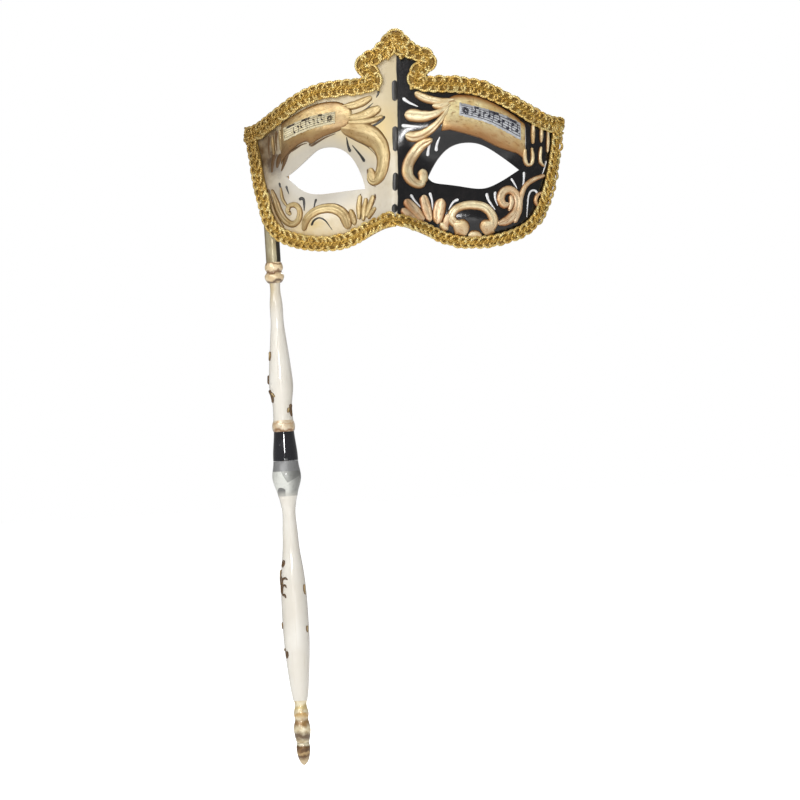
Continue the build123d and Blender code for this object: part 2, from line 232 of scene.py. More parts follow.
def smooth_path(points, count):
    """count points evenly spaced along a Catmull-Rom curve through points."""
    points = [Vector(p) for p in points]
    ends = [points[0] * 2 - points[1]] + points + [points[-1] * 2 - points[-2]]
    fine = []
    for a, b, c, d in zip(ends, ends[1:], ends[2:], ends[3:]):
        for i in range(16):
            t = i / 16
            fine.append(
                (b * 2 + (c - a) * t + (a * 2 - b * 5 + c * 4 - d) * t * t + (b * 3 - a - c * 3 + d) * t**3) / 2
            )
    fine.append(points[-1])
    lengths = [0.0]
    for a, b in zip(fine, fine[1:]):
        lengths.append(lengths[-1] + (b - a).length)
    path, k = [], 0
    for i in range(count):
        want = lengths[-1] * i / (count - 1)
        while k < len(fine) - 2 and lengths[k + 1] < want:
            k += 1
        span = lengths[k + 1] - lengths[k]
        path.append(fine[k].lerp(fine[k + 1], (want - lengths[k]) / span if span else 0))
    return path, lengths[-1]


def listed(values, t):
    """The value at t between 0 and 1 along an evenly spaced list."""
    place = t * (len(values) - 1)
    k = min(int(place), len(values) - 2)
    f = place - k
    f = f * f * (3 - 2 * f)
    return values[k] * (1 - f) + values[k + 1] * f


def stroke(shape, points, widths, height, surface=on_face, lift=-0.15, ribs=13, grooves=()):
    """A raised stroke with round ends, laid along points on a surface, with grooves at places across it."""
    _, length = smooth_path(points, 4)
    count = max(8, round(length / 0.5))
    path, length = smooth_path(points, count)
    rows, first_half, last_half = [], listed(widths, 0) / 2, listed(widths, 1) / 2
    for i, here in enumerate(path):
        tangent = path[min(i + 1, count - 1)] - path[max(i - 1, 0)]
        side = Vector((-tangent[1], tangent[0])).normalized()
        gone = length * i / (count - 1)
        half = listed(widths, i / (count - 1)) / 2
        for left, end in ((gone, first_half), (length - gone, last_half)):
            if left < end:
                half *= math.sqrt(max(0.02, 1 - ((end - left) / end) ** 2))
        row = []
        for j in range(ribs):
            u = 2 * j / (ribs - 1) - 1
            dome = (1 - abs(u) ** 2.5) ** 0.6 * min(1.0, 0.35 + half / 1.6)
            for groove in grooves:
                dome -= 0.3 * math.exp(-(((u - groove) / 0.16) ** 2)) * min(1.0, half / 1.8)
            place = here + side * (half * u)
            row.append(shape.point(surface(place[0], place[1], lift + (height - lift) * dome), gone, u))
        rows.append(row)
    shape.grid(rows)
    shape.grid([[row[-1], row[0]] for row in rows])
    shape.faces.append(tuple(rows[0]))
    shape.faces.append(tuple(reversed(rows[-1])))


def plate(shape, upper, lower, height, surface=on_face, lift=-0.15, columns=72, rows=15, rim=0.0, edge=8):
    """A raised plate between an upper and a lower curve."""
    top, length = smooth_path(upper, columns)
    bottom, _ = smooth_path(lower, columns)
    front, under = [], []
    for i in range(columns):
        s = 2 * i / (columns - 1) - 1
        front_line, under_line = [], []
        for j in range(rows):
            t = math.sin(math.pi / 2 * (2 * j / (rows - 1) - 1))
            place = bottom[i].lerp(top[i], (t + 1) / 2)
            dome = math.sqrt(max(0, (1 - abs(t) ** edge) * (1 - abs(s) ** (edge * 4))))
            dome += rim * math.exp(-(((abs(t) - 0.86) / 0.07) ** 2)) * dome
            rim_point = shape.point(
                surface(place[0], place[1], lift + (height - lift) * dome), length * i / columns, t
            )
            front_line.append(rim_point)
            inside = 0 < i < columns - 1 and 0 < j < rows - 1
            under_line.append(shape.point(surface(place[0], place[1], lift)) if inside else rim_point)
        front.append(front_line)
        under.append(under_line[::-1])
    shape.grid(front)
    shape.grid(under)


def cord(shape, points, radius, closed=False, sides=7, twist=0.0):
    """A round cord along 3-D points in millimetres; twist is turns of its strands per millimetre."""
    count = len(points)
    rows, gone, normal = [], 0.0, None
    for i, here in enumerate(points):
        after = points[(i + 1) % count] if closed or i < count - 1 else here
        before = points[i - 1] if closed or i > 0 else here
        tangent = (after - before).normalized()
        if normal is None:
            normal = tangent.orthogonal().normalized()
        normal = (normal - tangent * normal.dot(tangent)).normalized()
        other = tangent.cross(normal)
        row = []
        for j in range(sides):
            turn = 2 * math.pi * j / sides
            row.append(
                shape.point(
                    (here + (normal * math.cos(turn) + other * math.sin(turn)) * radius) * MM,
                    gone * twist,
                    j / sides,
                )
            )
        rows.append(row)
        gone += (after - here).length
    shape.grid(rows, closed_rows=closed, closed_columns=True)
    if not closed:
        shape.faces.append(tuple(reversed(rows[0])))
        shape.faces.append(tuple(rows[-1]))


# ---------------------------------------------------------------------------
# Materials
# ---------------------------------------------------------------------------
def srgb(red, green, blue):
    """Linear colour of an sRGB colour given as 0 to 255."""
    def linear(value):
        value /= 255
        return value / 12.92 if value <= 0.04045 else ((value + 0.055) / 1.055) ** 2.4
    return (linear(red), linear(green), linear(blue), 1.0)


class Paint:
    """One Principled material, built up by short calls that each return a socket."""

    def __init__(self, name, **values):
        self.material = bpy.data.materials.new(name)
        self.material.use_nodes = True
        self.tree = self.material.node_tree
        self.shader = self.tree.nodes["Principled BSDF"]
        for key, value in values.items():
            self.shader.inputs[key.replace("_", " ").title().replace("Ior", "IOR")].default_value = value
        self.place = self.tree.nodes.new("ShaderNodeTexCoord").outputs["Object"]

    def node(self, kind, inputs=(), **settings):
        node = self.tree.nodes.new("ShaderNode" + kind)
        for key, value in settings.items():
            setattr(node, key, value)
        for key, value in dict(inputs).items():
            if isinstance(value, bpy.types.NodeSocket):
                self.tree.links.new(value, node.inputs[key])
            else:
                node.inputs[key].default_value = value
        return node

    def noise(self, scale, detail=3.0, rough=0.5, vector=None):
        return self.node(
            "TexNoise", {"Vector": vector or self.place, "Scale": scale, "Detail": detail, "Roughness": rough}
        ).outputs["Fac"]

    def cells(self, scale, vector=None, feature="F1", output="Distance"):
        return self.node("TexVoronoi", {"Vector": vector or self.place, "Scale": scale}, feature=feature).outputs[output]

    def stretched(self, x, y, z):
        return self.node("Mapping", {"Vector": self.place, "Scale": (x, y, z)}).outputs[0]

    def attribute(self, name):
        return self.node("Attribute", attribute_name=name).outputs["Fac"]

    def math(self, operation, a, b=0.0, c=0.0):
        return self.node("Math", {0: a, 1: b, 2: c}, operation=operation).outputs[0]

    def remap(self, value, low, high, to_low=0.0, to_high=1.0, clamp=True):
        return self.node(
            "MapRange", {"Value": value, "From Min": low, "From Max": high, "To Min": to_low, "To Max": to_high}, clamp=clamp
        ).outputs["Result"]

    def mix(self, fac, a, b, blend="MIX"):
        node = self.tree.nodes.new("ShaderNodeMix")
        node.data_type, node.blend_type = "RGBA", blend
        for socket, value in ((node.inputs[0], fac), (node.inputs[6], a), (node.inputs[7], b)):
            if isinstance(value, bpy.types.NodeSocket):
                self.tree.links.new(value, socket)
            else:
                socket.default_value = value
        return node.outputs[2]

    def along(self, direction, origin=(0, 0, 0)):
        """Position along a direction in the row frame, in millimetres."""
        moved = self.node("VectorMath", {0: self.place, 1: tuple(c * MM for c in origin)}, operation="SUBTRACT")
        return self.node(
            "VectorMath", {0: moved.outputs[0], 1: tuple(c / MM for c in direction)}, operation="DOT_PRODUCT"
        ).outputs["Value"]

    def facing(self, direction):
        """How far the surface faces a direction, by its normal on the piece."""
        normal = self.node("NewGeometry").outputs["Normal"]
        local = self.node("VectorTransform", {0: normal}, vector_type="NORMAL", convert_from="WORLD", convert_to="OBJECT")
        return self.node(
            "VectorMath", {0: local.outputs[0], 1: tuple(direction)}, operation="DOT_PRODUCT"
        ).outputs["Value"]

    def set(self, name, socket):
        self.tree.links.new(socket, self.shader.inputs[name])

    def bump(self, height, distance, strength=1.0):
        bump = self.node("Bump", {"Height": height, "Distance": distance, "Strength": strength})
        self.set("Normal", bump.outputs[0])


# The brown that the gold paint turns towards the left temple.
TEMPLE_BROWN = srgb(96, 70, 38)


def gold_paint(name, bright, middle, shade, line, lower_edge_shade=False, brown_from=-1000):
    """Hand-rubbed gold paint on raised paste: crests paler as a painted highlight, warm flanks, painted shade on faces
    turned downwards and a brown line along each edge.
    A plate can get painted shade towards its lower edge, and all of it turns browner beyond a set distance across the
    mask (mm), towards the left temple."""
    p = Paint(name, metallic=0.35, roughness=0.36, specular_ior_level=0.5, coat_weight=0.25, coat_roughness=0.25)
    across = p.math("ABSOLUTE", p.attribute("across"))
    along = p.attribute("along")
    streak_place = p.node("CombineXYZ", {0: p.math("MULTIPLY", along, 0.12), 1: p.math("MULTIPLY", p.attribute("across"), 2.4)})
    streak = p.noise(2.2, 3, 0.6, streak_place.outputs[0])
    blotch = p.noise(140, 4, 0.6)
    # Paler along the middle of each stroke or plate as a painted highlight, and paler in random blotches.
    colour = p.mix(p.remap(p.math("SUBTRACT", blotch, p.math("MULTIPLY", across, 0.22)), 0.22, 0.5), middle, bright)
    colour = p.mix(p.remap(streak, 0.52, 0.72, 0, 0.85), colour, shade)
    patch = p.noise(52, 2)
    colour = p.mix(p.remap(patch, 0.55, 0.75, 0, 0.6), colour, shade)
    # Painted shade on faces that turn downwards, as if lit from above.
    colour = p.mix(p.remap(p.facing(UP), 0.1, -0.55, 0, 0.8), colour, shade)
    # On a plate, painted shade towards its lower edge.
    if lower_edge_shade:
        low = p.math("SUBTRACT", p.math("MULTIPLY", blotch, 0.8), p.attribute("across"))
        colour = p.mix(p.remap(low, 0.3, 1.4, 0, 0.85), colour, shade)
    colour = p.mix(p.remap(p.math("ADD", across, p.math("MULTIPLY", blotch, 0.4)), 0.84, 1.1), colour, shade)
    colour = p.mix(p.remap(p.math("ADD", across, p.math("MULTIPLY", streak, 0.2)), 1.0, 1.08), colour, line)
    # Browner beyond a set distance across the mask, towards the left temple.
    browning = p.remap(p.along(ACROSS, tuple(MASK_CENTRE)), brown_from, brown_from - 13, 0, 0.75)
    colour = p.mix(p.math("MULTIPLY", browning, p.remap(blotch, 0.3, 0.55, 0.5, 1)), colour, TEMPLE_BROWN)
    p.set("Base Color", colour)
    p.set("Roughness", p.remap(p.noise(420, 3), 0.3, 0.7, 0.26, 0.5))
    height = p.math("ADD", p.math("MULTIPLY", p.noise(900, 4, 0.6), 0.5), p.math("MULTIPLY", streak, 1.0))
    p.bump(height, 0.00022, 0.7)
    return p.material


def stroke_paint(name, colour, dark):
    """Thin glossy brush paint."""
    p = Paint(name, roughness=0.3, coat_weight=0.3)
    p.set("Base Color", p.mix(p.remap(p.noise(600, 3), 0.4, 0.75, 0, 0.5), colour, dark))
    p.bump(p.noise(1500, 2), 0.0001, 0.5)
    return p.material


def braid_thread(name, light, middle, shade):
    """Metallic thread wound round a cord, with painted shade in the gaps between the turns, and darker towards the left
    temple.
    """
    p = Paint(name, metallic=0.5, roughness=0.32, specular_ior_level=0.6)
    turn = p.math("FRACT", p.math("ADD", p.attribute("along"), p.math("MULTIPLY", p.attribute("across"), 2.0)))
    ridge = p.math("SINE", p.math("MULTIPLY", turn, math.pi))
    colour = p.mix(p.remap(p.noise(260, 3), 0.35, 0.7), middle, light)
    # Painted shade in the gaps between the turns.
    colour = p.mix(p.remap(ridge, 0.55, 0.05), colour, shade)
    # Darker towards the left temple.
    centre = tuple(MASK_CENTRE)
    temple = p.math("MULTIPLY", p.remap(p.along(ACROSS, centre), -54, -74), p.remap(p.along(UP, centre), -8, 16, 0, 0.55))
    colour = p.mix(temple, colour, shade)
    p.set("Base Color", colour)
    p.bump(p.math("ADD", ridge, p.math("MULTIPLY", p.noise(3000, 2), 0.3)), 0.00022, 0.8)
    return p.material


def woven_tape(name, light, dark):
    """The flat woven ground under the loops."""
    p = Paint(name, metallic=0.5, roughness=0.5)
    rib = p.math("SINE", p.math("MULTIPLY", p.attribute("along"), 9.0))
    weft = p.math("SINE", p.math("MULTIPLY", p.attribute("across"), 26.0))
    weave = p.math("MULTIPLY", rib, weft)
    p.set("Base Color", p.mix(p.remap(weave, -0.6, 0.8), dark, light))
    p.bump(weave, 0.0002, 0.8)
    return p.material


def mask_paint():
    """Ivory on the -X half, gloss black on the +X half, bare papier mache behind."""
    p = Paint("mask_paint", roughness=0.3, coat_weight=0.35, coat_roughness=0.12, specular_ior_level=0.5)
    centre = tuple(MASK_CENTRE)
    x = p.along(ACROSS, centre)
    z = p.along(UP, centre)
    wobble = p.remap(p.noise(90, 2), 0.3, 0.7, -0.35, 0.35)
    black_side = p.remap(p.math("ADD", x, wobble), 0.8, 1.2)

    mottle = p.noise(38, 4, 0.62)
    fine = p.noise(240, 4, 0.6)
    ivory = p.mix(p.remap(z, 30, -26), srgb(200, 184, 148), srgb(220, 212, 196))
    ivory = p.mix(p.remap(mottle, 0.45, 0.7, 0, 0.5), ivory, srgb(200, 184, 148))
    ivory = p.mix(p.remap(fine, 0.5, 0.78, 0, 0.3), ivory, srgb(176, 158, 118))
    nose_x, nose_z = p.math("ADD", x, 15.0), p.math("SUBTRACT", z, 24.0)
    spread = p.math("SQRT", p.math("ADD", p.math("MULTIPLY", nose_x, nose_x), p.math("MULTIPLY", nose_z, nose_z)))
    wash = p.math("MULTIPLY", p.remap(spread, 21, 7), p.remap(mottle, 0.3, 0.6, 0.4, 0.9))
    ivory = p.mix(wash, ivory, srgb(222, 196, 136))
    low_wash = p.math("MULTIPLY", p.remap(z, -17, -27), p.remap(x, -12, -26))
    ivory = p.mix(p.math("MULTIPLY", low_wash, p.remap(mottle, 0.35, 0.6, 0.3, 0.85)), ivory, srgb(212, 186, 128))
    temple = p.math("MULTIPLY", p.remap(x, -58, -72), p.remap(z, -28, 6, 0.4, 1.0))
    ivory = p.mix(p.math("MULTIPLY", temple, p.remap(mottle, 0.35, 0.55, 0.45, 1.0)), ivory, srgb(84, 62, 36))
    pool_x, pool_z = p.math("ADD", x, 71.5), p.math("SUBTRACT", z, 8.0)
    pool = p.math("SQRT", p.math("ADD", p.math("MULTIPLY", pool_x, pool_x), p.math("MULTIPLY", pool_z, pool_z)))
    pool = p.math("ADD", pool, p.remap(fine, 0.3, 0.7, -2.5, 2.5))
    ivory = p.mix(p.remap(pool, 7.4, 4.6, 0, 0.85), ivory, srgb(66, 46, 26))
    # Painted shade in the socket round the left eye hole.
    eye_x, eye_z = p.remap(x, -68, -16, -1, 1, False), p.remap(z, -16, 18, -1, 1, False)
    eye = p.math("SQRT", p.math("ADD", p.math("MULTIPLY", eye_x, eye_x), p.math("MULTIPLY", eye_z, eye_z)))
    ivory = p.mix(p.remap(eye, 1.35, 0.85, 0, 0.8), ivory, srgb(182, 176, 164))
    black = p.mix(p.remap(fine, 0.45, 0.8), srgb(14, 13, 15), srgb(34, 30, 30))
    painted = p.mix(black_side, ivory, black)

    bare = p.mix(p.remap(p.noise(160, 5, 0.7), 0.35, 0.7), srgb(232, 226, 210), srgb(205, 195, 172))
    front = p.remap(p.facing(-BACK), -0.12, 0.02)
    p.set("Base Color", p.mix(front, bare, painted))

    rough_front = p.mix(black_side, (0.36, 0.36, 0.36, 1), (0.2, 0.2, 0.2, 1))
    p.set("Roughness", p.mix(front, (0.85, 0.85, 0.85, 1), rough_front))
    brush = p.noise(1.0, 3, 0.6, p.stretched(700, 240, 90))
    pulp = p.math("MULTIPLY", p.noise(420, 5, 0.7), p.remap(front, 0, 1, 3.0, 0.35))
    p.bump(p.math("ADD", p.math("MULTIPLY", brush, 0.35), pulp), 0.0003, 0.6)
    return p.material


STAIN, STAIN_FADE = srgb(192, 170, 122), 14


def lacquered_wood(name, base, tint, dark, roughness=0.16, coat=0.6, stain_from=1000):
    """Turned wood under lacquer: faint rings from the lathe and grain along the axis, and a stain above a height."""
    p = Paint(name, roughness=roughness, coat_weight=coat, coat_roughness=0.05)
    grain = p.noise(1.0, 4, 0.6, p.stretched(520, 520, 26))
    rings = p.noise(1.0, 2, 0.5, p.stretched(4, 4, 900))
    colour = p.mix(p.remap(p.noise(55, 3), 0.4, 0.7), base, tint)
    colour = p.mix(p.remap(grain, 0.56, 0.8, 0, 0.35), colour, dark)
    stain = p.remap(p.along((0, 0, 1)), stain_from, stain_from + STAIN_FADE, 0, 0.8)
    colour = p.mix(p.math("MULTIPLY", stain, p.remap(p.facing((-1, 0, 0)), -0.6, 0.5, 0.35, 1)), colour, STAIN)
    p.set("Base Color", colour)
    p.bump(p.math("ADD", p.math("MULTIPLY", grain, 0.5), p.math("MULTIPLY", rings, 0.5)), 0.00012, 0.5)
    return p.material


def silver_leaf(name):
    """Squares of silver leaf laid in patches of different greys, with painted shade down the right-front side and a
    grey band round the top.
    """
    p = Paint(name, metallic=0.3, roughness=0.42, coat_weight=0.2)
    patch = p.node("TexVoronoi", {"Vector": p.stretched(100, 100, 80), "Scale": 1.0, "Randomness": 0.8})
    grey = p.node("SeparateColor", {0: patch.outputs["Color"]}).outputs[0]
    colour = p.mix(p.remap(grey, 0.3, 0.36), srgb(126, 126, 124), srgb(170, 171, 166))
    colour = p.mix(p.remap(grey, 0.55, 0.6), colour, srgb(226, 227, 220))
    # Painted shade down the right-front side.
    colour = p.mix(p.remap(p.facing((0.9, -0.44, 0)), 0.6, 0.95, 0, 0.75), colour, srgb(112, 112, 110))
    height = p.along((0, 0, 1))
    colour = p.mix(p.remap(height, 93.6, 94.2), colour, srgb(142, 142, 142))
    colour = p.mix(p.remap(height, 83, 80.5, 0, 0.8), colour, srgb(200, 198, 190))
    colour = p.mix(p.remap(p.noise(330, 4, 0.6), 0.55, 0.75, 0, 0.35), colour, srgb(96, 95, 92))
    p.set("Base Color", colour)
    p.bump(p.math("ADD", grey, p.math("MULTIPLY", p.noise(700, 3), 0.4)), 0.0002, 0.6)
    return p.material


def rod_paint(name):
    """Thin gold over grey, lighter at the front, with painted shade down the left side and dark down the right side."""
    p = Paint(name, metallic=0.3, roughness=0.3, coat_weight=0.3)
    blotch = p.noise(1.0, 4, 0.6, p.stretched(300, 300, 90))
    colour = p.mix(p.remap(blotch, 0.35, 0.7), srgb(186, 178, 148), srgb(152, 136, 102))
    # Painted shade down the left side.
    colour = p.mix(p.remap(p.facing((-1, 0, 0)), 0.6, 0.95, 0, 0.8), colour, srgb(128, 110, 82))
    edge = p.math("ADD", p.facing((0.94, -0.34, 0)), p.math("MULTIPLY", blotch, 0.1))
    p.set("Base Color", p.mix(p.remap(edge, 0.84, 0.9), colour, srgb(44, 40, 32)))
    p.bump(blotch, 0.0001, 0.5)
    return p.material


def ringed_paint(name, base, tint, bands):
    """Cream and gold paint on turned beads; bands are (height in mm, half width, colour) rubbed in round it."""
    p = Paint(name, metallic=0.2, roughness=0.3, coat_weight=0.35)
    blotch = p.noise(240, 4, 0.65)
    height = p.math("ADD", p.along((0, 0, 1)), p.remap(p.noise(210, 3), 0.3, 0.7, -1.1, 1.1))
    colour = p.mix(p.remap(blotch, 0.4, 0.65), base, tint)
    for middle, half, band in bands:
        away = p.math("ABSOLUTE", p.math("SUBTRACT", height, middle))
        colour = p.mix(p.remap(away, half * 1.5, half * 0.3, 0, 0.9), colour, band)
    p.set("Base Color", colour)
    p.bump(p.noise(900, 3), 0.00014, 0.5)
    return p.material


def brushed_brass(name):
    p = Paint(name, metallic=1.0, roughness=0.34)
    lines = p.noise(1.0, 3, 0.6, p.stretched(120, 120, 2400))
    p.set("Base Color", p.mix(p.remap(lines, 0.35, 0.7), srgb(188, 150, 84), srgb(214, 182, 118)))
    p.set("Roughness", p.remap(lines, 0.3, 0.7, 0.26, 0.46))
    p.bump(lines, 0.00008, 0.5)
    return p.material


def bare_pine(name):
    p = Paint(name, roughness=0.7)
    grain = p.noise(1.0, 4, 0.6, p.stretched(500, 500, 40))
    p.set("Base Color", p.mix(p.remap(grain, 0.35, 0.7), srgb(206, 170, 118), srgb(168, 124, 74)))
    p.bump(grain, 0.0003, 0.6)
    return p.material


def aged_paper(name, light, dark):
    p = Paint(name, roughness=0.75)
    p.set("Base Color", p.mix(p.remap(p.noise(300, 4, 0.6), 0.35, 0.7), light, dark))
    p.bump(p.noise(1600, 3), 0.0001, 0.5)
    return p.material


GOLD_RIGHT = gold_paint("gold_paint_bright", srgb(250, 236, 194), srgb(216, 186, 130), srgb(170, 122, 74), srgb(92, 60, 34))
GOLD_CURL = gold_paint("gold_paint_orange", srgb(244, 220, 180), srgb(214, 170, 118), srgb(164, 108, 64), srgb(92, 56, 32))
GOLD_LEFT = gold_paint("gold_paint_yellow", srgb(212, 190, 138), srgb(182, 152, 96), srgb(142, 108, 60), srgb(118, 88, 50), brown_from=-60)
PLATE_RIGHT = gold_paint("gold_plate_bright", srgb(255, 240, 184), srgb(220, 186, 122), srgb(158, 110, 60), srgb(92, 60, 34), True)
PLATE_LEFT = gold_paint("gold_plate_yellow", srgb(218, 194, 140), srgb(188, 156, 98), srgb(140, 104, 58), srgb(104, 74, 42), True, -53)
BROWN_GOLD = gold_paint("brown_gold_paint", srgb(196, 172, 122), srgb(150, 122, 78), srgb(96, 70, 40), srgb(62, 44, 26))
WHITE_PAINT = stroke_paint("white_paint", srgb(240, 240, 240), srgb(206, 206, 210))
BLACK_PAINT = stroke_paint("black_paint", srgb(26, 24, 22), srgb(56, 50, 40))
UMBER_PAINT = stroke_paint("umber_paint", srgb(92, 66, 34), srgb(60, 42, 24))
THREAD = braid_thread("gold_thread", srgb(255, 238, 168), srgb(226, 182, 86), srgb(118, 82, 24))
PLAIT_THREAD = braid_thread("plait_thread", srgb(230, 192, 98), srgb(188, 146, 58), srgb(108, 76, 24))
TAPE = woven_tape("braid_tape", srgb(200, 164, 88), srgb(140, 106, 46))
PAPER = aged_paper("music_paper", srgb(204, 206, 210), srgb(166, 168, 172))
CREAM_PAPER = aged_paper("cream_music_paper", srgb(226, 216, 184), srgb(208, 192, 150))
INK = stroke_paint("ink", srgb(34, 36, 50), srgb(62, 62, 76))
BROWN_INK = stroke_paint("brown_ink", srgb(56, 46, 36), srgb(96, 80, 56))


# The foot of the stick is a little longer than in the CAD: its spindle stretches between two heights (mm)
FOOT_SLOTS = {"lower_spindle": "ivory_lacquer", "finial_cup": "gilt_wood", "finial_drop": "gilt_wood"}
FOOT_LONGER, STRETCH_FROM, STRETCH_TO = 4.3, 0.0, -33.0


def longer_foot(name, material):
    """A copy of one turned piece of the CAD, stretched or moved down to where it lies on the longer stick."""
    mesh = NODES[name].data
    foot = Shape()
    for vertex in mesh.vertices:
        x, y, z = vertex.co
        stretch = min(max((STRETCH_FROM - z / MM) / (STRETCH_FROM - STRETCH_TO), 0), 1)
        foot.point((x, y, z - FOOT_LONGER * stretch * MM))
    foot.faces = [tuple(face.vertices) for face in mesh.polygons]
    return foot.make(name + "_turned", material, "lower_stick", FOOT_SLOTS[name], [name])


def finish_node(name, material):
    """Paints a CAD node, or the piece that stands for it at the foot, and returns which object now shows."""
    if name in FOOT_SLOTS:
        return longer_foot(name, material)
    mesh = NODES[name].data
    mesh.materials.clear()
    mesh.materials.append(material)
    return NODES[name]


BRASS = brushed_brass("brass")
IVORY_TONES = (srgb(228, 222, 210), srgb(236, 232, 223), srgb(204, 192, 168))
IVORY = lacquered_wood("ivory_lacquer", *IVORY_TONES)
STICK = {}
for node_name, finish in {
    "mask_shell": mask_paint(),
    "socket_tube": BRASS,
    "socket_strap": BRASS,
    "strap_pins": BRASS,
    "threaded_stud": BRASS,
    "socket_saddle": bare_pine("bare_pine"),
    "top_rod": rod_paint("rod_paint"),
    "upper_collar": ringed_paint(
        "upper_collar_paint", srgb(240, 218, 180), srgb(218, 190, 146),
        [(207.8, 0.9, srgb(120, 84, 52)), (202, 0.9, srgb(92, 66, 44)), (212.6, 0.7, srgb(140, 108, 72))],
    ),
    "lower_collar": ringed_paint(
        "lower_collar_paint", srgb(232, 216, 190), srgb(214, 186, 146),
        [(121.6, 0.5, srgb(206, 172, 132)), (117, 0.9, srgb(140, 98, 58))],
    ),
    "finial_cup": ringed_paint(
        "finial_cup_paint", srgb(238, 226, 194), srgb(210, 186, 140),
        [(-41, 1.4, srgb(212, 188, 128)), (-46, 1.3, srgb(196, 158, 96)), (-50, 1.6, srgb(150, 110, 58)),
         (-57.8, 2.2, srgb(90, 62, 36))],
    ),
    "finial_drop": ringed_paint(
        "finial_drop_paint", srgb(132, 98, 58), srgb(84, 58, 32),
        [(-61.8, 0.9, srgb(232, 222, 192)), (-67.4, 0.7, srgb(190, 160, 112)), (-73, 2.8, srgb(218, 196, 158))],
    ),
    "upper_spindle": lacquered_wood("stained_ivory_lacquer", *IVORY_TONES, stain_from=184),
    "lower_spindle": IVORY,
    "black_barrel": lacquered_wood("black_lacquer", srgb(20, 20, 24), srgb(34, 34, 40), srgb(10, 10, 10), 0.1, 1.0),
    "silver_knop": silver_leaf("silver_leaf"),
}.items():
    STICK[node_name] = finish_node(node_name, finish)


# ---------------------------------------------------------------------------
# Braid: a woven tape, two rows of loops and a plait between them
# ---------------------------------------------------------------------------
# Middle line of each length of braid, across and up the mask
CROWN_LINE = [
    (-13.2, 47), (-11.6, 52), (-13.6, 56.2), (-18, 59), (-16.4, 62.6), (-10.6, 65), (-6, 69.2), (-3.2, 73.8), (0, 76),
    (3.2, 73.8), (6, 69.8), (11, 66.6), (17, 64.8), (18.2, 60.2), (13.6, 56.4), (11.6, 52), (13.2, 47),
]
CROWN_FOLD = [(-6.2, 65), (-3, 68.4), (0, 72.4), (3, 68.4), (6.2, 65)]
BROW_LINE = [(12.4, 50.6), (15.4, 49.2), (22, 48.4), (32, 48), (45, 46.2), (57, 41.2), (68, 34.4), (77, 28.6), (83, 25.8), (90, 24.8)]
LEFT_SIDE_LINE = [(-86.2, 26.6), (-85, 22), (-83.2, 12), (-81, -2), (-78.2, -13)]
RIGHT_SIDE_LINE = [(88, 27.6), (87.2, 22), (86.2, 12), (84, -2), (81.2, -13)]
CHIN_LINE = [
    (75.2, -23.6), (69, -31.4), (58, -36), (46, -38), (34, -37.8), (24, -35.2), (14, -31.4), (6, -28.8), (0, -27.8),
]
# the braid runs closer to the edge under the right cheek
RIGHT_CHIN_LINE = [
    (76.8, -24.8), (70.2, -32.6), (58.6, -37.6), (46, -39.7), (34, -39.5), (24, -36.8), (14, -32.4), (6, -29.2), (0, -27.8),
]
CORD_R, PINCH_LONG = 0.78, 8.0


def braid_frames(line):
    """Evenly spaced stations along a braid: place on the mask, and the directions along and across it."""
    _, length = smooth_path(line, 4)
    count = max(24, round(length / 0.5))
    path, length = smooth_path(line, count)
    stations, gone = [], 0.0
    for i, here in enumerate(path):
        tangent = path[min(i + 1, count - 1)] - path[max(i - 1, 0)]
        a, b = on_face(here[0], here[1]), on_face(here[0] + tangent[0] * 0.1, here[1] + tangent[1] * 0.1)
        forward = (b - a).normalized()
        normal = face_normal(here[0], here[1])
        aside = normal.cross(forward).normalized()
        if i:
            gone += (a - stations[-1][1]).length / MM
        stations.append((here, a, forward, aside, gone))
    return stations


def on_braid(stations, gone, off, lift):
    """A point in mm that is gone along the braid, off to its side along the face, and lifted from it."""
    low, high = 0, len(stations) - 1
    while high - low > 1:
        middle = (low + high) // 2
        if stations[middle][4] <= gone:
            low = middle
        else:
            high = middle
    one, two = stations[low], stations[high]
    span = max(two[4] - one[4], 1e-6)
    f = (gone - one[4]) / span
    here = one[0].lerp(two[0], f)
    aside = one[3].lerp(two[3], min(max(f, 0), 1)).normalized()
    x = here[0] + aside.dot(ACROSS) * off
    z = here[1] + aside.dot(UP) * off
    return on_face(x, z, lift) / MM


